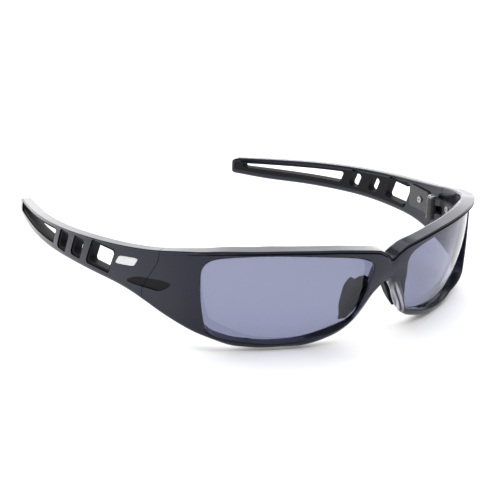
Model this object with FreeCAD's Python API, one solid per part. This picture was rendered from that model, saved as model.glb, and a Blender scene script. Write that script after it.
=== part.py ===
"""Wraparound safety glasses: one-piece front, two lenses, soft nose pads and slotted temples on screw hinges.

Everything is laid out on a ribbon: s runs along the frame from the middle of the bridge round the end piece
to the temple tip, n is the distance outwards from the ribbon's outer face, and z is the height. Millimetres.
+Z is up, the wearer looks along -Y and the wearer's left is +X.
"""
import FreeCAD, Part
import math
import os

V = FreeCAD.Vector
os.makedirs("parts", exist_ok=True)

# ---------------------------------------------------------------- driving sizes
BRIDGE_HALF = 7.2        # bridge centre to the nose side of the lens opening
LENS_SPAN = 61.0         # lens opening along the ribbon
LENS_HEIGHT = 33.2       # lens opening, top to bottom
END_PIECE = 20.0         # lens opening to hinge axis, along the ribbon
TEMPLE_LENGTH = 111.5    # hinge axis to temple tip, along the ribbon
TEMPLE_HEIGHT = 17.3     # temple just behind the hinge, ridge to lower edge
FRONT_TURN = 33.4        # turn of the ribbon over the front, degrees
WRAP_TURN = 45.2         # further turn round the end piece, degrees
TEMPLE_TURN = 35.4       # further turn of the temple round the head, degrees
LEAN = 0.2226            # forward lean of the front, depth over height

RIM_WALL = 4.6           # front wall
TEMPLE_WALL = 3.84       # temple wall, shell and liner together
BROW_DEPTH = 5.1         # depth of the flat ledge along the brow
RIM_TOP = 2.0            # rim over the lens opening
RIM_BOTTOM = 1.9         # rim under the lens opening
BRIDGE_DIP = 7.2         # how far the brow ridge falls at the bridge
RIDGE_ROUND = 0.35       # edge round of the brow ridge
LEDGE_ROUND = 0.8        # edge round of the ledge on its inner side
TIP_EDGE = 1.1           # both of those rounds at the temple tip
GROOVE = 0.75            # depth of the undercut below the ridge
GROOVE_HEIGHT = 1.05     # height of that undercut
FRONT_BULGE = 0.35       # crown of the outer face between ridge and lower edge

BEVEL = 0.45             # bevel round the front edge of the lens opening

LENS_RADIUS = 66.0       # front radius of the lens, an 8 base curve
LENS_THICK = 2.0         # lens thickness
LENS_SINK = 2.15         # lens front below the outer face, on average
LENS_LAP = 0.9           # how far the lens laps the rim in its seat
LENS_GAP = 0.05          # clearance round the lens edge
LENS_BACK = 0.3          # room left behind the lens

BRIDGE_HEIGHT = 9.6      # bridge, from its ridge down to the top of the nose notch
FLANGE_THICK = 2.3       # nose flange wall
FLANGE_DEPTH = 6.4       # nose flange, front to back
FLANGE_SPLAY = 0.32      # outward slope of the nose flange
FLANGE_STEP = 0.3        # step from the edge of the nose notch back to the flange
PAD_THICK = 1.3          # nose pad
PAD_LAP = 3.4            # how far the pad runs forward along the flange
PAD_BEYOND = 2.8         # how far the pad runs on behind the flange

SPLIT_GAP = 0.20         # gap between front and temple at the split
AXIS_INSET = 6.1         # hinge axis inside the outer face
HINGE_DROP = 8.8         # hinge middle below the frame's reference level
BARREL_RADIUS = 1.9      # hinge barrel
BARREL_END = 2.4         # height of the two front barrels
BARREL_MID = 3.0         # height of the temple barrel between them
BARREL_GAP = 0.08        # gap between barrels
PIN_RADIUS = 0.80        # pivot screw shank
PIN_CLEAR = 0.05         # radial clearance of the pivot screw
PIN_HEAD_RADIUS = 1.45   # pivot screw head
PIN_HEAD = 0.8           # height of that head
LEAF_THICK = 1.5         # hinge leaf plate
LEAF_SINK = 0.7          # how far each leaf is let into the wall
LEAF_HEIGHT = 8.2        # hinge leaf plate
LEAF_START = 5.6         # hinge axis to the near end of each leaf plate
ARM_CLEAR = 0.15         # gap between a leaf's arm and the walls beside the split
FRONT_LEAF = 7.6         # front leaf plate, along the ribbon
TEMPLE_LEAF = 12.0       # temple leaf plate, along the ribbon
SCREW_RADIUS = 0.6       # leaf screw shank
SCREW_HEAD_RADIUS = 1.15 # leaf screw head
SCREW_HEAD = 0.55        # height of that head
SCREW_LENGTH = 2.2       # leaf screw under its head

LINER_THICK = 1.4        # soft liner let into the inner face of the temple
LINER_TOP = 1.1          # shell left above the liner
LINER_BOTTOM = 1.0       # shell left below the liner
LINER_START = 21.0       # hinge axis to the front end of the liner
LINER_TIP = 1.6          # shell left behind the liner
COLLAR_WALL = 1.0        # wall of the liner's collar round each window
COLLAR_SINK = 0.5        # collar below the outer face of the shell

WINDOW_SIZE = (11.6, 7.6)    # main window, along the ribbon and in height
VENT_SIZE = (4.7, 5.8)       # each of the two small windows
SLANT = 0.42                 # run of the window ends along the ribbon over their height
SLOT_START_HEIGHT = 4.5      # long slot at its front end
SLOT_END_HEIGHT = 1.6        # long slot at its rear end
WINDOW_ROUND = 1.0           # corner round of the windows
RECESS_DEPTH = 1.3           # boat-shaped recess across the split
INLAY_SINK = 0.45            # soft inlay in that recess, below the outer face
TIP_ROUND = 1.9              # round of the temple tip seen from above

# ---------------------------------------------------------------- stations along the ribbon


def front_at(u):
    return BRIDGE_HALF + u * LENS_SPAN


def end_at(u):
    return front_at(1.0) + u * END_PIECE


def temple_at(u):
    return end_at(1.0) + u * TEMPLE_LENGTH


S_HINGE = end_at(1.0)
S_TIP = temple_at(1.0)
Z_TOP = 3.2                          # top of the lens opening
Z_BOTTOM = Z_TOP - LENS_HEIGHT       # bottom of the lens opening
S_LENS = front_at(0.5)
Z_LENS = 0.5 * (Z_TOP + Z_BOTTOM)


def smooth(table, s):
    """Smooth curve through the (s, value) pairs that never overshoots them."""
    if s <= table[0][0]:
        return table[0][1]
    if s >= table[-1][0]:
        return table[-1][1]
    n = len(table)
    h = [table[i + 1][0] - table[i][0] for i in range(n - 1)]
    d = [(table[i + 1][1] - table[i][1]) / h[i] for i in range(n - 1)]
    m = [d[0]]
    for i in range(1, n - 1):
        if d[i - 1] * d[i] <= 0:
            m.append(0.0)
        else:
            w1 = 2 * h[i] + h[i - 1]
            w2 = h[i] + 2 * h[i - 1]
            m.append((w1 + w2) / (w1 / d[i - 1] + w2 / d[i]))
    m.append(d[-1])
    i = 0
    while s > table[i + 1][0]:
        i += 1
    t = (s - table[i][0]) / h[i]
    a = (1 + 2 * t) * (1 - t) ** 2 * table[i][1] + t * (1 - t) ** 2 * h[i] * m[i]
    b = t * t * (3 - 2 * t) * table[i + 1][1] + t * t * (t - 1) * h[i] * m[i + 1]
    return a + b


TURN = [
    (-1.0, -0.7),
    (0.0, 0.0),
    (front_at(0.28), 0.48 * FRONT_TURN),
    (front_at(0.67), FRONT_TURN),
    (front_at(0.82), FRONT_TURN + 0.21 * WRAP_TURN),
    (front_at(0.96), FRONT_TURN + 0.51 * WRAP_TURN),
    (end_at(0.35), FRONT_TURN + 0.81 * WRAP_TURN),
    (end_at(0.80), FRONT_TURN + 0.965 * WRAP_TURN),
    (S_HINGE, FRONT_TURN + WRAP_TURN),
    (temple_at(0.13), FRONT_TURN + WRAP_TURN + 0.13 * TEMPLE_TURN),
    (temple_at(0.34), FRONT_TURN + WRAP_TURN + 0.35 * TEMPLE_TURN),
    (temple_at(0.55), FRONT_TURN + WRAP_TURN + 0.64 * TEMPLE_TURN),
    (temple_at(0.77), FRONT_TURN + WRAP_TURN + 0.89 * TEMPLE_TURN),
    (S_TIP + 4.0, FRONT_TURN + WRAP_TURN + TEMPLE_TURN),
]
RIDGE = [
    (0.0, Z_TOP + RIM_TOP - BRIDGE_DIP),
    (3.0, Z_TOP + RIM_TOP - 0.72 * BRIDGE_DIP),
    (6.0, Z_TOP + RIM_TOP - 0.5 * BRIDGE_DIP),
    (front_at(0.08), Z_TOP + RIM_TOP - 0.33 * BRIDGE_DIP),
    (front_at(0.28), Z_TOP + RIM_TOP - 0.11 * BRIDGE_DIP),
    (front_at(0.58), Z_TOP + RIM_TOP),
    (front_at(0.85), Z_TOP + RIM_TOP - 0.7),
    (end_at(0.0), Z_TOP + RIM_TOP - 2.2),
    (end_at(0.5), Z_TOP + RIM_TOP - 4.0),
    (S_HINGE, Z_TOP + RIM_TOP - 6.1),
    (temple_at(0.12), Z_TOP + RIM_TOP - 8.3),
    (temple_at(0.34), Z_TOP + RIM_TOP - 11.4),
    (temple_at(0.66), Z_TOP + RIM_TOP - 16.0),
    (S_TIP + 4.0, Z_TOP + RIM_TOP - 21.9),
]
NOTCH_Z = RIDGE[0][1] - BRIDGE_HEIGHT
Z_RIM = Z_BOTTOM - RIM_BOTTOM        # lowest edge of the front
NOTCH_FALL = Z_RIM - NOTCH_Z
# temple height behind the hinge: (share of the temple's length, share of TEMPLE_HEIGHT)
TAPER = [
    (0.07, 1.0), (0.12, 0.896), (0.21, 0.783), (0.34, 0.688), (0.66, 0.538), (0.88, 0.451), (1.036, 0.33),
]
RISE = smooth(RIDGE, temple_at(TAPER[0][0])) - TEMPLE_HEIGHT - Z_RIM
LOWER = [
    (0.0, NOTCH_Z),
    (0.26 * BRIDGE_HALF, NOTCH_Z + 0.045 * NOTCH_FALL),
    (0.48 * BRIDGE_HALF, NOTCH_Z + 0.135 * NOTCH_FALL),
    (0.72 * BRIDGE_HALF, NOTCH_Z + 0.25 * NOTCH_FALL),
    (BRIDGE_HALF, NOTCH_Z + 0.435 * NOTCH_FALL),
    (front_at(0.041), NOTCH_Z + 0.615 * NOTCH_FALL),
    (front_at(0.095), NOTCH_Z + 0.76 * NOTCH_FALL),
    (front_at(0.157), NOTCH_Z + 0.862 * NOTCH_FALL),
    (front_at(0.223), NOTCH_Z + 0.926 * NOTCH_FALL),
    (front_at(0.35), Z_RIM),
    (front_at(0.6), Z_RIM),
    (front_at(0.77), Z_RIM + 0.098 * RISE),
    (front_at(0.87), Z_RIM + 0.252 * RISE),
    (end_at(0.2), Z_RIM + 0.504 * RISE),
    (end_at(0.8), Z_RIM + 0.756 * RISE),
]
for u, share in TAPER:
    LOWER.append((temple_at(u), smooth(RIDGE, temple_at(u)) - share * TEMPLE_HEIGHT))
WALL = [
    (0.0, RIM_WALL + 0.4),
    (front_at(0.9), RIM_WALL),
    (end_at(0.75), TEMPLE_WALL),
    (S_TIP, TEMPLE_WALL),
]
LEDGE = [
    (0.0, BROW_DEPTH + 0.9),
    (front_at(0.15), BROW_DEPTH),
    (front_at(0.9), BROW_DEPTH),
    (end_at(0.85), TEMPLE_WALL),
    (S_TIP, TEMPLE_WALL),
]
UNDERCUT = [(0.0, GROOVE), (front_at(0.8), GROOVE), (end_at(0.4), 0.06), (S_TIP, 0.06)]
CROWN = [(0.0, FRONT_BULGE), (front_at(1.0), FRONT_BULGE), (end_at(0.7), 0.12), (S_TIP, 0.12)]
OUTER_EDGE = [(temple_at(0.88), RIDGE_ROUND), (S_TIP, TIP_EDGE)]
INNER_EDGE = [(temple_at(0.88), LEDGE_ROUND), (S_TIP, TIP_EDGE)]
# height of the round along the lower edge, as a share of the wall: tall beside the nose, where the edge is steep
LOW_ROUND = [
    (0.0, 0.5), (0.5 * BRIDGE_HALF, 0.75), (BRIDGE_HALF, 1.1), (front_at(0.05), 1.0),
    (front_at(0.1), 0.75), (front_at(0.2), 0.5), (front_at(0.3), 0.42),
]

STEP = 0.25
PLAN = [(0.0, 0.0)]
while len(PLAN) * STEP < S_TIP + 6.0:
    turn = math.radians(smooth(TURN, (len(PLAN) - 0.5) * STEP))
    PLAN.append((PLAN[-1][0] + STEP * math.cos(turn), PLAN[-1][1] + STEP * math.sin(turn)))


def plan(s):
    """Ribbon outer face in plan at s: x, y and direction in radians."""
    i = min(int(s / STEP), len(PLAN) - 2)
    t = s / STEP - i
    x = PLAN[i][0] + t * (PLAN[i + 1][0] - PLAN[i][0])
    y = PLAN[i][1] + t * (PLAN[i + 1][1] - PLAN[i][1])
    return x, y, math.radians(smooth(TURN, s))


def lean(s):
    return smooth([(front_at(0.7), LEAN), (end_at(0.3), 0.0)], abs(s))


def at(s, n, z):
    """Point at ribbon station s, n outwards and height z; negative s is the wearer's right."""
    x, y, turn = plan(abs(s))
    x += n * math.sin(turn)
    y -= n * math.cos(turn)
    y -= lean(s) * z
    return V(x if s >= 0 else -x, y, z)


def flat(along, n, z):
    """Point in the local frame of a station: n outwards is minus y there."""
    return V(along, -n, z)


def moved(solid, s):
    """Solid built in the local frame of station s (x along the ribbon, y inwards, z up), put in place."""
    x, y, turn = plan(s)
    placed = solid.copy()
    there = FreeCAD.Placement(V(x, y, 0), FreeCAD.Rotation(V(0, 0, 1), math.degrees(turn)))
    placed.Placement = there.multiply(placed.Placement)
    return placed


def mirrored(shape):
    return shape.mirror(V(0, 0, 0), V(1, 0, 0))


# ---------------------------------------------------------------- building blocks


def arc(a, b, c):
    return Part.Arc(a, b, c).toShape()


def line(a, b):
    return Part.LineSegment(a, b).toShape()


def low_round(s):
    return smooth(LOW_ROUND, s) * smooth(WALL, s)


def section(s):
    """Closed profile of the frame at s: ledge, ridge, undercut, outer face, lower edge, inner face."""
    a = abs(s)
    zt = smooth(RIDGE, a)
    zb = smooth(LOWER, a)
    wall = smooth(WALL, a)
    deep = max(smooth(LEDGE, a), wall + 0.02)
    cut = smooth(UNDERCUT, a)
    crown = smooth(CROWN, a)
    r = smooth(OUTER_EDGE, a)
    ri = smooth(INNER_EDGE, a)
    k = 1 - math.sqrt(0.5)
    low = low_round(a)
    face_top = zt - r - GROOVE_HEIGHT
    rise = 0.25
    q = [
        at(s, -deep + ri, zt + rise),
        at(s, -r, zt),
        at(s, -r * k, zt - r * k),
        at(s, 0, zt - r),
        at(s, -cut, zt - r - 0.5 * GROOVE_HEIGHT),
        at(s, 0, face_top),
        at(s, crown, 0.5 * (face_top + zb + low)),
        at(s, 0, zb + low),
        at(s, -wall, zb + low),
        at(s, -wall, zt - 3.6),
        at(s, -deep, zt + rise - ri),
        at(s, -deep + ri * k, zt + rise - ri * k),
    ]
    foot = []
    for i in range(5):
        turn = 0.25 * i * math.pi
        foot.append(at(s, -0.5 * wall * (1 - math.cos(turn)), zb + low * (1 - math.sin(turn))))
    lower = Part.BSplineCurve()
    lower.interpolate(foot)
    edges = [
        line(q[0], q[1]),
        arc(q[1], q[2], q[3]),
        arc(q[3], q[4], q[5]),
        arc(q[5], q[6], q[7]),
        lower.toShape(),
        line(q[8], q[9]),
        line(q[9], q[10]),
        arc(q[10], q[11], q[0]),
    ]
    return Part.Wire(edges)


def loft(wires):
    return Part.makeLoft(wires, True, False)


def ribbon_box(s0, s1, n0, n1, low, high, count):
    """Band of the ribbon between offsets n0 and n1; low and high give its heights at s."""
    wires = []
    for i in range(count + 1):
        s = s0 + (s1 - s0) * i / count
        p = [at(s, n0, low(s)), at(s, n1, low(s)), at(s, n1, high(s)), at(s, n0, high(s))]
        wires.append(Part.makePolygon(p + [p[0]]))
    return loft(wires)


def closed_curve(points):
    c = Part.BSplineCurve()
    c.interpolate(Points=points, PeriodicFlag=True)
    return Part.Wire(c.toShape())


def prism(wire, along):
    return Part.Face(wire).extrude(along)


def rounded(points, r):
    """Closed wire through corner points in order, every corner rounded by r."""
    n = len(points)
    edges = []
    ends = []
    for i in range(n):
        p = points[i]
        a = (points[i - 1] - p).normalize()
        b = (points[(i + 1) % n] - p).normalize()
        half = 0.5 * a.getAngle(b)
        cut = r / math.tan(half)
        bis = (a + b).normalize()
        mid = p + bis * (r / math.sin(half) - r)
        ends.append((p + a * cut, mid, p + b * cut))
    for i in range(n):
        edges.append(arc(*ends[i]))
        edges.append(line(ends[i][2], ends[(i + 1) % n][0]))
    return Part.Wire(edges)


def through(s, outline, n0, n1, r):
    """Prism square to the ribbon at s; outline holds (along, height) corners."""
    pts = [flat(x, n0, z) for x, z in outline]
    wire = rounded(pts, r) if r else Part.makePolygon(pts + [pts[0]])
    return moved(prism(wire, V(0, n0 - n1, 0)), s)


def slanted(width, height, zc, grow):
    """Corners of a window whose ends slant; grow widens it all round."""
    w = 0.5 * width + grow
    h = 0.5 * height + grow
    run = SLANT * h
    return [(-w - run, zc + h), (w - run, zc + h), (w + run, zc - h), (-w + run, zc - h)]


def check(name, shape):
    solids = shape.Solids
    if len(solids) < 1:
        raise ValueError(name + " has no solid")
    if not shape.isValid():
        raise ValueError(name + " is not valid")
    return shape


# ---------------------------------------------------------------- lens and its opening
LENS_OUTLINE = [
    (-0.955, 0.10), (-0.98, 0.38), (-0.985, 0.52), (-0.955, 0.645), (-0.88, 0.735), (-0.72, 0.825),
    (-0.36, 0.925), (-0.04, 0.98), (0.28, 1.00), (0.55, 0.965), (0.78, 0.895), (0.89, 0.825),
    (0.955, 0.73), (0.995, 0.59), (1.00, 0.40), (0.99, 0.15), (0.97, -0.14), (0.93, -0.46),
    (0.885, -0.66), (0.79, -0.78), (0.62, -0.865), (0.36, -0.95), (0.10, -1.00), (-0.13, -0.995),
    (-0.34, -0.955), (-0.57, -0.85), (-0.74, -0.74), (-0.84, -0.60), (-0.895, -0.40), (-0.93, -0.15),
]


def opening_points(grow):
    """Points of the lens opening on the ribbon's outer face, grown outwards by grow."""
    flat_points = [(S_LENS + 0.5 * LENS_SPAN * u, Z_LENS + 0.5 * LENS_HEIGHT * v) for u, v in LENS_OUTLINE]
    out = []
    n = len(flat_points)
    for i in range(n):
        tx = flat_points[(i + 1) % n][0] - flat_points[i - 1][0]
        tz = flat_points[(i + 1) % n][1] - flat_points[i - 1][1]
        d = math.hypot(tx, tz)
        out.append((flat_points[i][0] - grow * tz / d, flat_points[i][1] + grow * tx / d))
    return out


lens_turn = math.radians(FRONT_TURN * 0.88)
LENS_AXIS = V(math.sin(lens_turn), -math.cos(lens_turn), -LEAN * 0.9).normalize()
lens_points = [at(s, -LENS_SINK, z) for s, z in opening_points(0.0)]


def fit_centre(points, radius, start):
    """Centre of the sphere of the given radius that lies nearest the points."""
    c = V(start)
    for _ in range(60):
        shift = V(0, 0, 0)
        for p in points:
            d = p - c
            shift += d * (1 - radius / d.Length)
        c += shift * (1.6 / len(points))
    return c


middle = V(0, 0, 0)
for p in lens_points:
    middle += p * (1.0 / len(lens_points))
LENS_CENTRE = fit_centre(lens_points, LENS_RADIUS, middle - LENS_AXIS * LENS_RADIUS)


def lens_outline(grow, ahead):
    """Opening's outline, laid along the lens axis onto the plane that lies ahead of the lens's front."""
    pts = []
    for s, z in opening_points(grow):
        p = at(s, 0, z)
        d = (p - LENS_CENTRE).dot(LENS_AXIS)
        pts.append(p - LENS_AXIS * (d - LENS_RADIUS - ahead))
    return closed_curve(pts)


def lens_prism(grow):
    """Straight prism along the lens axis through the opening's outline."""
    return prism(lens_outline(grow, 14), LENS_AXIS * -44)


def crowned(s, z):
    """Distance of the outer face from the ribbon's face at height z."""
    top = smooth(RIDGE, s) - RIDGE_ROUND - GROOVE_HEIGHT
    low = smooth(LOWER, s) + low_round(s)
    if z < low:
        sine = min(1.0, (low - z) / low_round(s))
        return -0.5 * smooth(WALL, s) * (1 - math.sqrt(1 - sine * sine))
    share = (2 * z - top - low) / (top - low)
    return smooth(CROWN, s) * max(0.0, 1 - share * share)


def bevelled_opening():
    """The opening with its front edge bevelled: the bevel follows the outer face."""
    wide = [at(s, crowned(s, z) + 0.04, z) for s, z in opening_points(BEVEL)]
    tight = [at(s, crowned(s, z) - BEVEL, z) for s, z in opening_points(0.0)]
    rows = [lens_outline(BEVEL, 14), closed_curve(wide), closed_curve(tight), lens_outline(0.0, -30)]
    return Part.makeLoft(rows, True, True)


def ball(radius):
    return Part.makeSphere(radius, LENS_CENTRE)


lens_left = lens_prism(LENS_LAP).common(ball(LENS_RADIUS)).cut(ball(LENS_RADIUS - LENS_THICK))
opening = bevelled_opening()
seat = lens_prism(LENS_LAP + LENS_GAP).common(ball(LENS_RADIUS))
lens_room = lens_prism(LENS_LAP + LENS_GAP).cut(ball(LENS_RADIUS - LENS_THICK - LENS_BACK))

# ---------------------------------------------------------------- front blank
S_END = S_HINGE + 8.0
stations = [0.0]
for i in range(1, 9):
    stations.append(LOWER[i][0])
for i in range(3, 13):
    stations.append(front_at(i / 12.0 + 0.02 * (12 - i) / 9.0))
for i in range(1, 5):
    stations.append(end_at(i / 4.0))
stations.append(S_HINGE + 4.0)
stations.append(S_END)
all_s = [-s for s in reversed(stations[1:])] + stations
front = loft([section(s) for s in all_s])
check("front blank", front)
front = front.cut([opening, mirrored(opening), seat, mirrored(seat)])

# edge of the nose notch, from the bridge down to the lower rim: (distance from the middle, height)
NOTCH = [(at(LOWER[i][0], 0, LOWER[i][1]).x, LOWER[i][1]) for i in range(1, 8)]


def strip(c, first, last, inner, outer, shift):
    """Closed strip along the notch edge in the leaned plane at depth c, from edge point first to last."""
    pts = NOTCH[first:last + 1]
    rows = []
    for i in range(len(pts)):
        j = first + i
        before = NOTCH[max(j - 1, 0)]
        after = NOTCH[min(j + 1, len(NOTCH) - 1)]
        tx = after[0] - before[0]
        tz = after[1] - before[1]
        d = math.hypot(tx, tz)
        rows.append((pts[i][0], pts[i][1], -tz / d, tx / d))
    edge_in = []
    edge_out = []
    for x, z, nx, nz in rows:
        zi = z + nz * (shift + inner)
        zo = z + nz * (shift + outer)
        edge_in.append(V(x + nx * (shift + inner), c - LEAN * zi, zi))
        edge_out.append(V(x + nx * (shift + outer), c - LEAN * zo, zo))
    ci = Part.BSplineCurve()
    ci.interpolate(edge_in)
    co = Part.BSplineCurve()
    co.interpolate(list(reversed(edge_out)))
    foot = line(edge_in[-1], edge_out[-1])
    top = line(edge_out[0], edge_in[0])
    return Part.Wire([ci.toShape(), foot, co.toShape(), top])


FLANGE_START = 2.6
flange_end = FLANGE_START + FLANGE_DEPTH
# rear outline of the flange and pad: (share of the depth, share of the notch's height from its top)
REAR = [
    (0.04, 0.75), (0.40, 0.61), (0.72, 0.47), (0.89, 0.30), (1.0, 0.11), (0.91, -0.03), (0.53, -0.09), (0.0, -0.14),
]


def behind_outline(depth):
    """Everything behind the rear outline of a nose flange that is this deep."""
    pts = []
    for u, v in REAR:
        z = NOTCH_Z + v * NOTCH_FALL
        pts.append(V(-10, FLANGE_START + u * depth - LEAN * z, z))
    c = Part.BSplineCurve()
    c.interpolate(pts)
    far = [V(-10, pts[-1].y, 20), V(-10, 60, 20), V(-10, 60, -60), V(-10, pts[0].y, -60)]
    path = [pts[-1]] + far + [pts[0]]
    edges = [c.toShape()]
    for i in range(len(path) - 1):
        edges.append(line(path[i], path[i + 1]))
    return prism(Part.Wire(edges), V(50, 0, 0))


flange = Part.makeLoft([
    strip(FLANGE_START, 0, 6, 0.0, FLANGE_THICK, FLANGE_STEP),
    strip(flange_end, 0, 6, 0.0, FLANGE_THICK, FLANGE_STEP + FLANGE_SPLAY * FLANGE_DEPTH),
], True, True).cut([lens_room, behind_outline(FLANGE_DEPTH)])
check("flange", flange)
front = front.fuse([flange, mirrored(flange)])

pad_from = flange_end - PAD_LAP
pad_to = flange_end + PAD_BEYOND
slope = FLANGE_SPLAY
pad_blank = Part.makeLoft([
    strip(pad_from, 1, 6, -PAD_THICK, 0.9, FLANGE_STEP + slope * (pad_from - FLANGE_START)),
    strip(pad_to, 1, 6, -PAD_THICK, 0.9, FLANGE_STEP + slope * (pad_to - FLANGE_START)),
], True, True).cut([lens_room, behind_outline(FLANGE_DEPTH + PAD_BEYOND)])
check("pad", pad_blank)
pad_left = pad_blank.cut(front)
print("front", len(front.Solids), "pad", len(pad_left.Solids), "lens", len(lens_left.Solids))

# ---------------------------------------------------------------- temple blank
temple_s = [S_HINGE - 8.0, S_HINGE - 4.0, S_HINGE]
for i in range(1, 13):
    temple_s.append(temple_at(i / 12.0))
temple_s.append(S_TIP + 3.0)
temple = loft([section(s) for s in temple_s])
check("temple blank", temple)

# rounded tip: the end of the temple is cut to a half-round outline from the side and from above
tip_high = smooth(RIDGE, S_TIP) + 0.5
tip_low = smooth(LOWER, S_TIP) - 0.1
tip_back = -0.5 * (tip_high - tip_low)


def tip_outline(inset):
    """Half-round end of the temple seen from the side, closed far behind it; inset moves it forwards."""
    back = tip_back - inset
    top = V(back, -20, tip_high)
    foot = V(back, -20, tip_low)
    path = [foot, V(back, -20, tip_low - 12), V(12, -20, tip_low - 12), V(12, -20, tip_high + 12),
            V(back, -20, tip_high + 12), top]
    edges = [arc(top, V(-inset, -20, 0.5 * (tip_high + tip_low)), foot)]
    for i in range(len(path) - 1):
        edges.append(line(path[i], path[i + 1]))
    return Part.Wire(edges)


tip_side = moved(prism(tip_outline(0.0), V(0, 40, 0)), S_TIP)
r = TIP_ROUND
far = TEMPLE_WALL + 3
above = [flat(-r, 3, -40), flat(-r, 0, -40), flat(0, -r, -40), flat(0, r - TEMPLE_WALL, -40),
         flat(-r, -TEMPLE_WALL, -40), flat(-r, -far, -40), flat(9, -far, -40), flat(9, 3, -40)]
k = r * (1 - math.sqrt(0.5))
tip_above = moved(prism(Part.Wire([
    line(above[0], above[1]),
    arc(above[1], flat(-k, -k, -40), above[2]),
    line(above[2], above[3]),
    arc(above[3], flat(-k, k - TEMPLE_WALL, -40), above[4]),
    line(above[4], above[5]),
    line(above[5], above[6]),
    line(above[6], above[7]),
    line(above[7], above[0]),
]), V(0, 0, 60)), S_TIP)
temple = temple.cut([tip_side, tip_above])

# ---------------------------------------------------------------- split between front and temple
# the split runs down the side in a slack S: (along the ribbon from the hinge axis, height from the ridge)
ridge_h = smooth(RIDGE, S_HINGE)
SPLIT = [
    (-2.4, 4.0), (-2.5, 1.6), (-3.0, -0.9), (-2.5, -3.4), (-0.9, -6.3), (1.3, -9.4),
    (3.3, -12.2), (4.5, -14.7), (4.7, -17.0), (4.1, -19.4), (3.2, -23.0),
]


def split_tool(offset, side):
    """Everything on one side of the split, as a prism square to the ribbon at the hinge."""
    pts = [V(x + offset, -16, ridge_h + z) for x, z in SPLIT]
    c = Part.BSplineCurve()
    c.interpolate(pts)
    far = 200.0 * side
    p = pts[0]
    q = pts[-1]
    wire = Part.Wire([c.toShape(), line(q, V(far, -16, q.z)), line(V(far, -16, q.z), V(far, -16, p.z)),
                      line(V(far, -16, p.z), p)])
    return moved(prism(wire, V(0, 32, 0)), S_HINGE)


behind = split_tool(-0.5 * SPLIT_GAP, 1)
ahead = split_tool(0.5 * SPLIT_GAP, -1)
front = front.cut([behind, mirrored(behind)])
temple = temple.cut(ahead)
print("after split", len(front.Solids), len(temple.Solids))

# boat-shaped recess across the split, sunk into the outer face
RECESS = [
    (-8.0, 0.6), (-3.8, 0.7), (1.0, 0.0), (7.0, -1.0), (11.8, -3.6), (5.0, -3.9), (-1.0, -3.6), (-5.4, -2.3),
]
RECESS_LEVEL = ridge_h - 10.3
boat_wire = closed_curve([flat(x, -RECESS_DEPTH, RECESS_LEVEL + z) for x, z in RECESS])
boat = moved(prism(boat_wire, V(0, -8, 0)), S_HINGE)
inlay = moved(prism(boat_wire, V(0, INLAY_SINK - RECESS_DEPTH, 0)), S_HINGE)
inlay_front = front.common(inlay)
inlay_temple = temple.common(inlay)
front = front.cut([boat, mirrored(boat)])
temple = temple.cut(boat)

# ---------------------------------------------------------------- hinge
HZ = -HINGE_DROP
axis_base = at(S_HINGE, -AXIS_INSET, 0)
stack = 2 * BARREL_END + BARREL_MID + 2 * BARREL_GAP
z_low = HZ - 0.5 * stack
z_mid = z_low + BARREL_END + BARREL_GAP
z_high = z_mid + BARREL_MID + BARREL_GAP
z_up = z_low + stack


def drum(radius, z0, z1):
    return Part.makeCylinder(radius, z1 - z0, V(axis_base.x, axis_base.y, z0), V(0, 0, 1))


def arm(side, z0, z1):
    """Web from a barrel to its leaf plate, clear of both walls; side is 1 towards the temple tip."""
    reach = LEAF_START + 1.5
    outer = -smooth(WALL, S_HINGE) - ARM_CLEAR
    inner = -smooth(WALL, S_HINGE) + LEAF_SINK - LEAF_THICK
    back = -AXIS_INSET
    row = [
        (0, back), (0, outer - 0.2), (1.0, outer), (reach, outer), (reach, inner), (3.4, inner), (1.6, back),
    ]
    pts = [flat(side * x, n, z0) for x, n in row]
    return moved(prism(Part.makePolygon(pts + [pts[0]]), V(0, 0, z1 - z0)), S_HINGE)


def leaf_plate(s0, s1):
    """Flat plate let into the inner face between s0 and s1."""
    sm = 0.5 * (s0 + s1)
    w = 0.5 * abs(s1 - s0)
    h = 0.5 * LEAF_HEIGHT
    n_out = -smooth(WALL, sm) + LEAF_SINK
    n_in = n_out - LEAF_THICK
    return through(sm, [(-w, HZ + h), (w, HZ + h), (w, HZ - h), (-w, HZ - h)], n_in, n_out, 1.0)


LEAF_CLEAR = BARREL_RADIUS + 0.25
front_leaf_start = S_HINGE - LEAF_START
temple_leaf_start = S_HINGE + LEAF_START
fplate = leaf_plate(front_leaf_start - FRONT_LEAF, front_leaf_start)
tplate = leaf_plate(temple_leaf_start, temple_leaf_start + TEMPLE_LEAF)
relief = drum(LEAF_CLEAR, z_low - 0.3, z_up + 0.3)
fplate = fplate.cut(relief)
tplate = tplate.cut(relief)
farm = arm(-1, z_low, z_mid - BARREL_GAP).fuse(arm(-1, z_high, z_up))
tarm = arm(1, z_mid, z_high - BARREL_GAP)
low_barrel = drum(BARREL_RADIUS, z_low, z_mid - BARREL_GAP)
top_barrel = drum(BARREL_RADIUS, z_high, z_up)
hinge_front = fplate.fuse([farm, low_barrel, top_barrel])
hinge_temple = tplate.fuse([tarm, drum(BARREL_RADIUS, z_mid, z_high - BARREL_GAP)])
keep_mid = drum(LEAF_CLEAR, z_mid - BARREL_GAP, z_high)
keep_low = drum(LEAF_CLEAR, z_low - 0.3, z_mid)
keep_top = drum(LEAF_CLEAR, z_high - BARREL_GAP, z_up + 0.3)
hinge_front = hinge_front.cut(keep_mid)
hinge_temple = hinge_temple.cut([keep_low, keep_top])
bore = drum(PIN_RADIUS + PIN_CLEAR, z_low - 1, z_up + 1)
hinge_front = hinge_front.cut(bore).removeSplitter()
hinge_temple = hinge_temple.cut(bore).removeSplitter()
pin = drum(PIN_RADIUS, z_low, z_up).fuse(drum(PIN_HEAD_RADIUS, z_up, z_up + PIN_HEAD)).removeSplitter()
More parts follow.
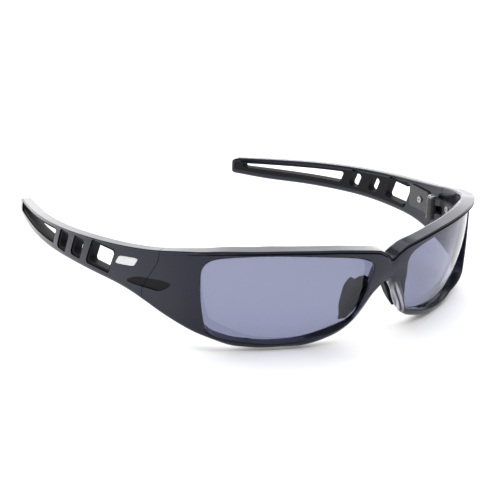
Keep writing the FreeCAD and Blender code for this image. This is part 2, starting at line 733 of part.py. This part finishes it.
slot_box = Part.makeBox(4, 0.4, 0.4, V(axis_base.x - 2, axis_base.y - 0.2, z_up + PIN_HEAD - 0.4))
pin = pin.cut(slot_box)


def leaf_screw(s, dz):
    """Screw through a leaf into the wall, head on the inner side."""
    n_in = -smooth(WALL, s) + LEAF_SINK - LEAF_THICK
    head = Part.makeCylinder(SCREW_HEAD_RADIUS, SCREW_HEAD, flat(0, n_in, HZ + dz), V(0, 1, 0))
    shank = Part.makeCylinder(SCREW_RADIUS, SCREW_LENGTH, flat(0, n_in, HZ + dz), V(0, -1, 0))
    deep = SCREW_HEAD - 0.3
    cross_a = Part.makeBox(1.5, 0.5, 0.3, V(-0.75, deep - n_in, HZ + dz - 0.15))
    cross_b = Part.makeBox(0.3, 0.5, 1.5, V(-0.15, deep - n_in, HZ + dz - 0.75))
    body = head.fuse(shank).removeSplitter().cut([cross_a, cross_b])
    return moved(body, s), moved(shank, s)


front_s = front_leaf_start - 0.55 * FRONT_LEAF
fs1, fh1 = leaf_screw(front_s, 0.27 * LEAF_HEIGHT)
fs2, fh2 = leaf_screw(front_s, -0.27 * LEAF_HEIGHT)
ts1, th1 = leaf_screw(temple_leaf_start + 0.40 * TEMPLE_LEAF, 0.0)
hinge_front = hinge_front.cut([fh1, fh2])
hinge_temple = hinge_temple.cut(th1)

# room for the hinge in the front and the temple
room = drum(LEAF_CLEAR, z_low - 0.4, z_up + PIN_HEAD + 0.4)
front_tools = [hinge_front, fh1, fh2, room]
front = front.cut(front_tools + [mirrored(t) for t in front_tools])
temple = temple.cut([hinge_temple, th1, room])

# ---------------------------------------------------------------- liner and windows
liner_s0 = S_HINGE + LINER_START


def liner_low(s):
    return smooth(LOWER, s) + LINER_BOTTOM + 0.3 * TEMPLE_WALL


def liner_high(s):
    return smooth(RIDGE, s) - LINER_TOP


pocket = ribbon_box(liner_s0 - 4.0, S_TIP + 2.0, -TEMPLE_WALL - 2.0, -TEMPLE_WALL + LINER_THICK,
                    liner_low, liner_high, 14)
start_mid = 0.5 * (liner_low(liner_s0) + liner_high(liner_s0))
start_cut = through(liner_s0, [(-20, 14 + start_mid), (-3.2, 14 + start_mid), (3.4, -14 + start_mid),
                               (-20, -14 + start_mid)], -12, 4, 0)
pocket = pocket.cut(start_cut)
pocket = pocket.cut(moved(prism(tip_outline(LINER_TIP), V(0, 40, 0)), S_TIP))
check("pocket", pocket)

WINDOW_AT = 0.236
VENT_A_AT = 0.362
VENT_B_AT = 0.456
SLOT_FROM = 0.525
SLOT_TO = 0.945


def centre_line(s):
    return 0.5 * (smooth(RIDGE, s) + smooth(LOWER, s)) + 0.8


def window(u, size, grow, n0, n1):
    s = temple_at(u)
    return through(s, slanted(size[0], size[1], centre_line(s), grow), n0, n1, WINDOW_ROUND)


def long_slot(grow, n0, n1):
    s0 = temple_at(SLOT_FROM)
    s1 = temple_at(SLOT_TO)
    sm = 0.5 * (s0 + s1)
    z0 = centre_line(s0) + 0.3
    z1 = centre_line(s1) + 0.1
    h0 = 0.5 * SLOT_START_HEIGHT + grow
    h1 = 0.5 * SLOT_END_HEIGHT + grow
    x0 = s0 - sm - grow
    x1 = s1 - sm + grow
    pts = [(x0 - SLANT * h0, z0 + h0), (x1, z1 + h1), (x1, z1 - h1), (x0 + SLANT * h0, z0 - h0)]
    return through(sm, pts, n0, n1, 0.42 * SLOT_END_HEIGHT)


def all_windows(grow, n0, n1):
    return [
        window(WINDOW_AT, WINDOW_SIZE, grow, n0, n1),
        window(VENT_A_AT, VENT_SIZE, grow, n0, n1),
        window(VENT_B_AT, VENT_SIZE, grow, n0, n1),
        long_slot(grow, n0, n1),
    ]


holes = all_windows(0.0, -12, 6)
wells = all_windows(COLLAR_WALL, -12, 6)
collar_band = ribbon_box(liner_s0 - 4.0, S_TIP + 2.0, -TEMPLE_WALL + LINER_THICK - 0.6, -COLLAR_SINK,
                         lambda s: smooth(LOWER, s) - 2.0, lambda s: smooth(RIDGE, s) + 2.0, 14)
liner = temple.common(pocket)
collars = [collar_band.common(w) for w in wells]
liner = liner.fuse(collars).cut(holes)
liner = liner.removeSplitter()
temple = temple.cut([pocket] + wells)
print("liner", len(liner.Solids), "temple", len(temple.Solids), "front", len(front.Solids))
print("hinge leaves", len(hinge_front.Solids), len(hinge_temple.Solids))

# ---------------------------------------------------------------- nodes
nodes = {
    "front_frame": front,
    "lens_left": lens_left,
    "nose_pad_left": pad_left,
    "temple_shell_left": temple,
    "temple_liner_left": liner,
    "side_inlay_front_left": inlay_front,
    "side_inlay_temple_left": inlay_temple,
    "hinge_leaf_front_left": hinge_front,
    "hinge_leaf_temple_left": hinge_temple,
    "hinge_screw_left": pin,
    "leaf_screws_front_left": Part.makeCompound([fs1, fs2]),
    "leaf_screw_temple_left": ts1,
}
for name in list(nodes):
    if name.endswith("_left"):
        nodes[name.replace("_left", "_right")] = mirrored(nodes[name])

box = FreeCAD.BoundBox()
for name in nodes:
    check(name, nodes[name])
    box.add(nodes[name].optimalBoundingBox(False, False))
shift = V(0, -0.5 * (box.YMin + box.YMax), -box.ZMin)
for name in nodes:
    placed = nodes[name].copy()
    placed.translate(shift)
    placed.exportStep("parts/" + name + ".step")
    print(name, "solids", len(placed.Solids), "volume mm3", round(placed.Volume, 1))
print("box", [round(v, 2) for v in (box.XMin, box.XMax, box.YMin, box.YMax, box.ZMin, box.ZMax)])
print("shift", [round(v, 4) for v in shift])
print("hinge axis left", [round(v, 4) for v in axis_base + shift], "hinge middle z", round(HZ + shift.z, 4))
print("lens centre", [round(v, 3) for v in LENS_CENTRE + shift])
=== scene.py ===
"""Wraparound safety glasses: finishes, plain badges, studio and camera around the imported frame."""
import math

import bmesh
import bpy
from mathutils import Matrix, Vector
from mathutils.bvhtree import BVHTree


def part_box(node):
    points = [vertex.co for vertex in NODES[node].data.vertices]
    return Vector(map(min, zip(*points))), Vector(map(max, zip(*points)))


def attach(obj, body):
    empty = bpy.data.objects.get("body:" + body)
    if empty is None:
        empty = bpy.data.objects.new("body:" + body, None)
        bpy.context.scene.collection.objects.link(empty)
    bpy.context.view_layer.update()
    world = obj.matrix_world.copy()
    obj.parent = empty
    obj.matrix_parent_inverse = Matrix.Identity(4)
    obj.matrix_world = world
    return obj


bl_info = {
    "name": "Safety Glasses",
    "version": (1, 0, 0),
    "blender": (4, 5, 0),
    "location": "View3D > Sidebar > Safety Glasses",
    "description": "Builds the finish, badges and studio of wraparound safety glasses",
    "category": "Object",
}

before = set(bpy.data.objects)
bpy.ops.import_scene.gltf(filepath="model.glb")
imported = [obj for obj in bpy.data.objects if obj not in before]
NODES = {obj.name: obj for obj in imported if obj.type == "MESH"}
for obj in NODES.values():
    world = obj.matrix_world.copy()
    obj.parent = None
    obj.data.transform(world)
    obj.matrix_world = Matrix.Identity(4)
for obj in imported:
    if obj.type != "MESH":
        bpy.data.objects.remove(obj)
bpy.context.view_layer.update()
SIDES = ("left", "right")
MM = 0.001

# where the pale streaks of painted reflection go on the nose flanges: up to EDGE across the slope, and below
# TOP
FLANGE_SLOPE = 0.6
FLANGE_EDGE = 17.2 * MM
FLANGE_EDGE_FADE = 0.8 * MM
FLANGE_TOP = 20.5 * MM
FLANGE_TOP_FADE = 5.0 * MM

# the lens tint deepens over this height
TINT_FROM = 10.0 * MM
TINT_OVER = 26.0 * MM
LENS_REFLECTION = 0.045  # straight on; the rest comes in towards a grazing view

BADGE_SLANT = 0.45       # lean of the badge's ends
BADGE_TILT = 0.16        # rise of the badge towards the front
BADGE_RAISE = 0.4 * MM   # badge's middle above the hinge's middle
BADGE_GAP = 0.02 * MM    # underside of the badge off the temple
BADGE_EASE = 0.3         # how much the badge narrows at its very ends
RAY_START = 0.2          # clear of the glasses on either side

FLOOR_HALF = 3.0
FLOOR_DROP = 0.5 * MM    # floor below the lowest point of the rims
SENSOR_WIDTH = 36.0


# ---------------------------------------------------------------- shader maths


class Value:
    """A shader socket that takes part in ordinary arithmetic by adding Math nodes."""

    def __init__(self, tree, socket):
        self.tree = tree
        self.socket = socket

    def _math(self, operation, *values):
        node = self.tree.add("ShaderNodeMath", {"operation": operation}, dict(enumerate(values)))
        return Value(self.tree, node.outputs[0])

    def __add__(self, other):
        return self._math("ADD", self, other)

    __radd__ = __add__

    def __sub__(self, other):
        return self._math("SUBTRACT", self, other)

    def __rsub__(self, other):
        return self._math("SUBTRACT", other, self)

    def __mul__(self, other):
        return self._math("MULTIPLY", self, other)

    __rmul__ = __mul__

    def __truediv__(self, other):
        return self._math("DIVIDE", self, other)

    def __pow__(self, other):
        return self._math("POWER", self, other)

    def clamp(self):
        return self._math("MAXIMUM", self._math("MINIMUM", self, 1.0), 0.0)

    def absolute(self):
        return self._math("ABSOLUTE", self)


class Tree:
    """A material's node tree with one method that adds any node."""

    def __init__(self, name):
        self.material = bpy.data.materials.new(name)
        self.material.use_nodes = True
        self.nodes = self.material.node_tree.nodes
        self.links = self.material.node_tree.links
        self.nodes.clear()
        self.surface = self.add("ShaderNodeOutputMaterial")
        self.object = self.add("ShaderNodeTexCoord").outputs["Object"]

    def add(self, kind, settings=None, inputs=None):
        node = self.nodes.new(kind)
        for key, value in (settings or {}).items():
            setattr(node, key, value)
        for key, value in (inputs or {}).items():
            socket = node.inputs[key]
            if isinstance(value, Value):
                self.links.new(value.socket, socket)
            elif isinstance(value, bpy.types.NodeSocket):
                self.links.new(value, socket)
            elif hasattr(value, "__len__") and len(value) == 3 and socket.type == "RGBA":
                socket.default_value = (*value, 1.0)
            else:
                socket.default_value = value
        return node

    def value(self, kind, output, settings=None, inputs=None):
        return Value(self, self.add(kind, settings, inputs).outputs[output])

    def noise(self, scale, detail=2.0, roughness=0.5):
        return self.value("ShaderNodeTexNoise", 0, None,
                          {"Vector": self.object, "Scale": scale, "Detail": detail, "Roughness": roughness})

    def blend(self, share, first, second):
        node = self.add("ShaderNodeMix", {"data_type": "RGBA"}, {0: share, 6: first, 7: second})
        return node.outputs[2]

    def bump(self, height, strength, distance):
        inputs = {"Height": height, "Strength": strength, "Distance": distance}
        return self.add("ShaderNodeBump", None, inputs).outputs[0]

    def principled(self, inputs):
        return self.add("ShaderNodeBsdfPrincipled", None, inputs).outputs[0]

    def finish(self, shader):
        self.links.new(shader, self.surface.inputs["Surface"])
        return self.material


def scaled(colour, share):
    """A darker or lighter version of a colour."""
    return tuple(share * c for c in colour)


def gloss_smoke(look):
    """Gloss smoke-black nylon: faint cloud in its colour, slow waves and polish marks in its gloss.

    On the nose flanges, upright pale flow streaks are painted into the colour as painted reflections.
    """
    t = Tree("gloss_smoke_nylon")
    cloud = t.noise(60.0, 3.0)
    fine = t.noise(900.0, 2.0, 0.6)
    colour = t.blend(cloud, scaled(look.frame_colour, 0.8), scaled(look.frame_colour, 1.25))
    waves = t.noise(75.0, 1.0)
    place = t.add("ShaderNodeSeparateXYZ", None, {0: t.object}).outputs
    from_middle = Value(t, place[0]).absolute()
    height = Value(t, place[2])
    # the flange slopes outwards on its way down, so this stays level along its edge
    across = from_middle + FLANGE_SLOPE * height
    on_flange_across = ((FLANGE_EDGE - across) / FLANGE_EDGE_FADE).clamp()
    on_flange_below = ((FLANGE_TOP - height) / FLANGE_TOP_FADE).clamp()
    along = t.add("ShaderNodeCombineXYZ", None, {0: across, 1: 0.05 * height}).outputs[0]
    flow = t.value("ShaderNodeTexNoise", 0, None, {"Vector": along, "Scale": 1300.0, "Detail": 2.0})
    # painted reflection: pale upright streaks on the nose flanges, painted into the base colour
    painted_reflection_streak = ((flow - 0.38) * 4.0).clamp() * on_flange_across * on_flange_below
    colour = t.blend(painted_reflection_streak, colour, look.painted_reflection_colour)
    shader = t.principled({
        "Base Color": colour, "Roughness": 0.08 + 0.06 * fine + 0.06 * cloud, "IOR": 1.44,
        "Specular Tint": (0.72, 0.74, 0.98, 1.0),
        "Normal": t.bump(waves, 0.25, 0.0004),
    })
    return t.finish(shader)


def soft_black(look):
    """Matt soft-touch elastomer with a fine moulded grain."""
    t = Tree("soft_black_elastomer")
    grain = t.noise(2600.0, 2.0, 0.7)
    colour = t.blend(t.noise(90.0), scaled(look.soft_colour, 0.8), scaled(look.soft_colour, 1.3))
    shader = t.principled({
        "Base Color": colour, "Roughness": 0.56 + 0.16 * grain, "IOR": 1.42, "Specular IOR Level": 0.15,
        "Normal": t.bump(grain, 0.15, 0.00005),
    })
    return t.finish(shader)


def smoke_lens(look):
    """Smoke-tinted polycarbonate, denser towards the brow and mirror-like at grazing views."""
    t = Tree("smoke_lens")
    height = t.value("ShaderNodeSeparateXYZ", 2, None, {0: t.object})
    dense = ((height - TINT_FROM) / TINT_OVER).clamp()
    colour = t.blend(dense, look.lens_colour, scaled(look.lens_colour, 0.94))
    tinted = t.add("ShaderNodeBsdfTransparent", None, {"Color": colour}).outputs[0]
    gloss = t.principled({
        "Base Color": look.lens_body, "Roughness": 0.03 + 0.02 * t.noise(500.0), "IOR": 1.58,
        "Specular IOR Level": 1.0, "Metallic": 1.0,
    })
    graze = t.value("ShaderNodeLayerWeight", "Facing", None, {"Blend": 0.5})
    share = (LENS_REFLECTION + (1.0 - LENS_REFLECTION) * graze ** 5.0).clamp()
    both = t.add("ShaderNodeMixShader", None, {0: share, 1: tinted, 2: gloss}).outputs[0]
    return t.finish(both)


def black_metal(look):
    """Blackened hinge metal with fine brushing."""
    t = Tree("black_hinge_metal")
    grain = t.noise(1800.0, 3.0, 0.6)
    colour = t.blend(grain, scaled(look.hinge_colour, 0.7), scaled(look.hinge_colour, 1.4))
    shader = t.principled({"Base Color": colour, "Metallic": 0.35, "Roughness": 0.2 + 0.12 * grain,
                           "Normal": t.bump(grain, 0.1, 0.00003)})
    return t.finish(shader)


def steel(look):
    """Turned screw steel with fine rings and a little tarnish."""
    t = Tree("screw_steel")
    grain = t.noise(3000.0, 2.0, 0.6)
    colour = t.blend(t.noise(700.0), scaled(look.steel_colour, 0.75), look.steel_colour)
    shader = t.principled({"Base Color": colour, "Metallic": 1.0, "Roughness": 0.24 + 0.2 * grain,
                           "Normal": t.bump(grain, 0.1, 0.00002)})
    return t.finish(shader)


def pale_foil(look):
    """Satin silver foil with a fine brushed grain along its length."""
    t = Tree("pale_foil")
    stretch = t.add("ShaderNodeMapping", None, {0: t.object, "Scale": (1.0, 0.08, 1.0)}).outputs[0]
    grain = t.value("ShaderNodeTexNoise", 0, None, {"Vector": stretch, "Scale": 5000.0, "Detail": 2.0})
    colour = t.blend(grain, scaled(look.foil_colour, 0.86), look.foil_colour)
    shader = t.principled({"Base Color": colour, "Metallic": 0.25, "Roughness": 0.34 + 0.2 * grain,
                           "Normal": t.bump(grain, 0.1, 0.00002)})
    return t.finish(shader)


def pale_floor():
    """Plain pale studio floor, a little uneven in tone."""
    t = Tree("pale_floor")
    shader = t.principled({"Base Color": t.blend(t.noise(3.0), (0.93, 0.93, 0.93), (0.97, 0.97, 0.97)),
                           "Roughness": 0.8})
    return t.finish(shader)


# ---------------------------------------------------------------- sizes and colours a user would change


class LookSettings(bpy.types.PropertyGroup):
    """Colours of the finishes."""

    frame_colour: bpy.props.FloatVectorProperty(
        name="Frame colour", description="Gloss smoke-black nylon of the front and temples",
        subtype="COLOR", size=3, min=0.0, max=1.0, default=(0.008, 0.008, 0.012))
    # painted reflection: colour of the pale streaks painted on the nose flanges
    painted_reflection_colour: bpy.props.FloatVectorProperty(
        name="Flange streaks", description="Pale painted reflection streaks on the nose flanges",
        subtype="COLOR", size=3, min=0.0, max=1.0, default=(0.62, 0.62, 0.68))
    soft_colour: bpy.props.FloatVectorProperty(
        name="Soft parts colour", description="Soft-touch liners and nose pads",
        subtype="COLOR", size=3, min=0.0, max=1.0, default=(0.012, 0.012, 0.014))
    lens_colour: bpy.props.FloatVectorProperty(
        name="Lens tint", description="Light that each face of a lens lets through",
        subtype="COLOR", size=3, min=0.0, max=1.0, default=(0.46, 0.475, 0.575))
    lens_body: bpy.props.FloatVectorProperty(
        name="Lens polish", description="Colour of the reflection off the lens",
        subtype="COLOR", size=3, min=0.0, max=1.0, default=(0.95, 0.95, 1.0))
    hinge_colour: bpy.props.FloatVectorProperty(
        name="Hinge colour", description="Blackened hinge leaves",
        subtype="COLOR", size=3, min=0.0, max=1.0, default=(0.05, 0.05, 0.055))
    steel_colour: bpy.props.FloatVectorProperty(
        name="Screw colour", description="Screw steel",
        subtype="COLOR", size=3, min=0.0, max=1.0, default=(0.5, 0.5, 0.52))
    foil_colour: bpy.props.FloatVectorProperty(
        name="Badge colour", description="Satin foil of the plain badges",
        subtype="COLOR", size=3, min=0.0, max=1.0, default=(0.78, 0.78, 0.8))


class DetailSettings(bpy.types.PropertyGroup):
    """Sizes of the small details."""

    badge_length: bpy.props.FloatProperty(
        name="Badge length", description="Plain badge on each temple, along it", unit="LENGTH",
        default=9.4 * MM)
    badge_height: bpy.props.FloatProperty(
        name="Badge height", description="Plain badge on each temple, upright", unit="LENGTH",
        default=3.2 * MM)
    badge_thickness: bpy.props.FloatProperty(
        name="Badge thickness", description="How far the badge stands off the temple", unit="LENGTH",
        default=0.18 * MM)
    badge_behind: bpy.props.FloatProperty(
        name="Badge place", description="Badge's middle behind the hinge axis", unit="LENGTH",
        default=10.7 * MM)


class StudioSettings(bpy.types.PropertyGroup):
    """Camera and light of the studio."""

    azimuth: bpy.props.FloatProperty(
        name="Azimuth", description="Camera's turn about the vertical from straight in front",
        subtype="ANGLE", default=math.radians(38.124))
    elevation: bpy.props.FloatProperty(
        name="Elevation", description="Camera's height angle", subtype="ANGLE", default=math.radians(19.832))
    roll: bpy.props.FloatProperty(
        name="Roll", description="Camera's turn about its own axis", subtype="ANGLE",
        default=math.radians(-2.206))
    distance: bpy.props.FloatProperty(
        name="Distance", description="Camera to the aim point", unit="LENGTH", default=0.70876)
    lens: bpy.props.FloatProperty(
        name="Lens", description="Focal length of the camera in millimetres", default=147.46)
    aim: bpy.props.FloatVectorProperty(
        name="Aim", description="Point that the camera's axis is set out from", size=3, subtype="TRANSLATION",
        unit="LENGTH", default=(0.0, -0.0368882, 0.0319519))
    slide: bpy.props.FloatVectorProperty(
        name="Slide", description="Sideways and upward move of the camera from the aim point", size=2,
        default=(-0.023465, -0.011743))
    world: bpy.props.FloatProperty(
        name="Surround", description="Strength of the white surround", default=0.45)
    overhead: bpy.props.FloatProperty(
        name="Overhead light", description="Power of the overhead softbox", default=17.0)
    rear: bpy.props.FloatProperty(
        name="Rear light", description="Power of the softbox behind", default=26.0)
    key: bpy.props.FloatProperty(
        name="Key light", description="Power of the softbox in front", default=2.0)


# ---------------------------------------------------------------- helpers


def look():
    """The finish colours as set on the scene."""
    return bpy.context.scene.glasses_look


def assign(obj, material):
    """The one material on every slot of the object."""
    if not obj.material_slots:
        obj.data.materials.append(material)
    for slot in obj.material_slots:
        slot.link = "OBJECT"
        slot.material = material


def merged(node):
    """A merged copy of a CAD node's mesh, as a bmesh."""
    form = bmesh.new()
    form.from_mesh(NODES[node].data)
    bmesh.ops.remove_doubles(form, verts=form.verts, dist=0.001 * MM)
    form.normal_update()
    return form


def piece(name, form, body, material):
    """Makes an object of the bmesh, gives it its finish and lets it ride on a body."""
    bmesh.ops.recalc_face_normals(form, faces=form.faces)
    mesh = bpy.data.meshes.new(name)
    form.to_mesh(mesh)
    form.free()
    mesh.shade_smooth()
    obj = bpy.data.objects.new(name, mesh)
    bpy.context.scene.collection.objects.link(obj)
    assign(obj, material)
    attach(obj, body)


def outward(side):
    """The way that a side's temple faces."""
    return Vector((1.0 if side == "left" else -1.0, 0.0, 0.0))


def softbox(name, place, size, power):
    """A rectangular white light turned towards the middle of the glasses."""
    data = bpy.data.lights.new(name, "AREA")
    data.shape = "RECTANGLE"
    data.size = size[0]
    data.size_y = size[1]
    data.energy = power
    obj = bpy.data.objects.new(name, data)
    bpy.context.scene.collection.objects.link(obj)
    obj.location = place
    obj.rotation_euler = Vector(place).to_track_quat("Z", "Y").to_euler()


# ---------------------------------------------------------------- operators


class GLASSES_OT_finishes(bpy.types.Operator):
    """Gives every CAD node its finish"""

    bl_idname = "glasses.finishes"
    bl_label = "Finishes"

    def execute(self, context):
        smoke = gloss_smoke(look())
        soft = soft_black(look())
        lens = smoke_lens(look())
        metal = black_metal(look())
        screw = steel(look())
        kinds = (
            ("front_frame", smoke), ("temple_shell", smoke), ("lens", lens),
            ("temple_liner", soft), ("nose_pad", soft), ("side_inlay", soft),
            ("hinge_leaf", metal), ("hinge_screw", screw), ("leaf_screw", screw),
        )
        for name, obj in NODES.items():
            for start, material in kinds:
                if name.startswith(start):
                    assign(obj, material)
                    break
            else:
                raise RuntimeError("no finish for " + name)
        return {"FINISHED"}


class GLASSES_OT_badges(bpy.types.Operator):
    """Puts a plain slanted badge on the outer face of each temple, just behind the hinge"""

    bl_idname = "glasses.badges"
    bl_label = "Plain badges"

    def execute(self, context):
        detail = context.scene.glasses_detail
        foil = pale_foil(look())
        for side in SIDES:
            out = outward(side)
            shell = merged("temple_shell_" + side)
            tree = BVHTree.FromBMesh(shell)
            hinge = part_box("hinge_screw_" + side)
            centre_y = 0.5 * (hinge[0][1] + hinge[1][1]) + detail.badge_behind
            centre_z = 0.5 * (hinge[0][2] + hinge[1][2]) + BADGE_RAISE
            form = bmesh.new()
            bmesh.ops.create_grid(form, x_segments=24, y_segments=8, size=0.5)
            for v in form.verts:
                # the corners are eased off at both ends
                narrow = 1.0 - BADGE_EASE * abs(2.0 * v.co.x) ** 8
                along = v.co.x * detail.badge_length
                up = v.co.y * detail.badge_height
                y = centre_y + along - BADGE_SLANT * up
                z = centre_z + up * narrow - BADGE_TILT * along
                spot = tree.ray_cast(out * RAY_START + Vector((0.0, y, z)), -out)[0]
                if spot is None:
                    raise RuntimeError("the badge misses the temple")
                v.co = spot + out * BADGE_GAP
            grown = bmesh.ops.extrude_face_region(form, geom=form.faces[:])
            raised = [g for g in grown["geom"] if isinstance(g, bmesh.types.BMVert)]
            bmesh.ops.translate(form, verts=raised, vec=out * detail.badge_thickness)
            piece("temple_badge_" + side, form, "temple_" + side, foil)
            shell.free()
        return {"FINISHED"}


class GLASSES_OT_stage(bpy.types.Operator):
    """Sets up the floor, the soft studio light and the camera"""

    bl_idname = "glasses.stage"
    bl_label = "Studio"

    def execute(self, context):
        scene = context.scene
        studio = scene.glasses_studio
        form = bmesh.new()
        bmesh.ops.create_grid(form, x_segments=2, y_segments=2, size=FLOOR_HALF)
        bmesh.ops.translate(form, verts=form.verts, vec=(0.0, 0.0, -FLOOR_DROP))
        mesh = bpy.data.meshes.new("floor")
        form.to_mesh(mesh)
        form.free()
        floor = bpy.data.objects.new("floor", mesh)
        scene.collection.objects.link(floor)
        assign(floor, pale_floor())

        world = bpy.data.worlds.new("studio")
        world.use_nodes = True
        background = world.node_tree.nodes["Background"]
        background.inputs[0].default_value = (1.0, 1.0, 1.0, 1.0)
        background.inputs[1].default_value = studio.world
        scene.world = world

        softbox("overhead_box", (0.1, 0.0, 1.1), (1.6, 1.6), studio.overhead)
        softbox("rear_box", (0.75, 1.15, 0.55), (3.2, 1.1), studio.rear)
        softbox("key_box", (-1.0, -0.5, 0.6), (0.4, 0.6), studio.key)

        turn = studio.azimuth
        lift = studio.elevation
        back = Vector((-math.sin(turn) * math.cos(lift), -math.cos(turn) * math.cos(lift), math.sin(lift)))
        right = Vector((math.cos(turn), -math.sin(turn), 0.0))
        up = back.cross(right)
        place = Vector(studio.aim) + back * studio.distance + right * studio.slide[0] + up * studio.slide[1]
        across = right * math.cos(studio.roll) - up * math.sin(studio.roll)
        upright = right * math.sin(studio.roll) + up * math.cos(studio.roll)
        data = bpy.data.cameras.new("camera")
        data.sensor_width = SENSOR_WIDTH
        data.lens = studio.lens
        data.clip_start = 0.01
        camera = bpy.data.objects.new("camera", data)
        scene.collection.objects.link(camera)
        camera.matrix_world = Matrix((
            (across.x, upright.x, back.x, place.x),
            (across.y, upright.y, back.y, place.y),
            (across.z, upright.z, back.z, place.z),
            (0.0, 0.0, 0.0, 1.0),
        ))
        scene.camera = camera
        scene.view_settings.view_transform = "Standard"
        return {"FINISHED"}


class GLASSES_PT_panel(bpy.types.Panel):
    """Lists the pieces and their settings"""

    bl_label = "Safety Glasses"
    bl_idname = "GLASSES_PT_panel"
    bl_space_type = "VIEW_3D"
    bl_region_type = "UI"
    bl_category = "Safety Glasses"

    def draw(self, context):
        layout = self.layout
        scene = context.scene
        for group in (scene.glasses_look, scene.glasses_detail, scene.glasses_studio):
            box = layout.box()
            for key in group.__annotations__:
                box.prop(group, key)
        for cls in OPERATORS:
            layout.operator(cls.bl_idname)


OPERATORS = (GLASSES_OT_finishes, GLASSES_OT_badges, GLASSES_OT_stage)
CLASSES = (LookSettings, DetailSettings, StudioSettings, *OPERATORS, GLASSES_PT_panel)


def register():
    for cls in CLASSES:
        bpy.utils.register_class(cls)
    bpy.types.Scene.glasses_look = bpy.props.PointerProperty(type=LookSettings)
    bpy.types.Scene.glasses_detail = bpy.props.PointerProperty(type=DetailSettings)
    bpy.types.Scene.glasses_studio = bpy.props.PointerProperty(type=StudioSettings)


def unregister():
    del bpy.types.Scene.glasses_studio
    del bpy.types.Scene.glasses_detail
    del bpy.types.Scene.glasses_look
    for cls in reversed(CLASSES):
        bpy.utils.unregister_class(cls)


def main():
    """Builds everything in order."""
    register()
    bpy.ops.glasses.finishes()
    bpy.ops.glasses.badges()
    bpy.ops.glasses.stage()


if __name__ == "__main__":
    main()
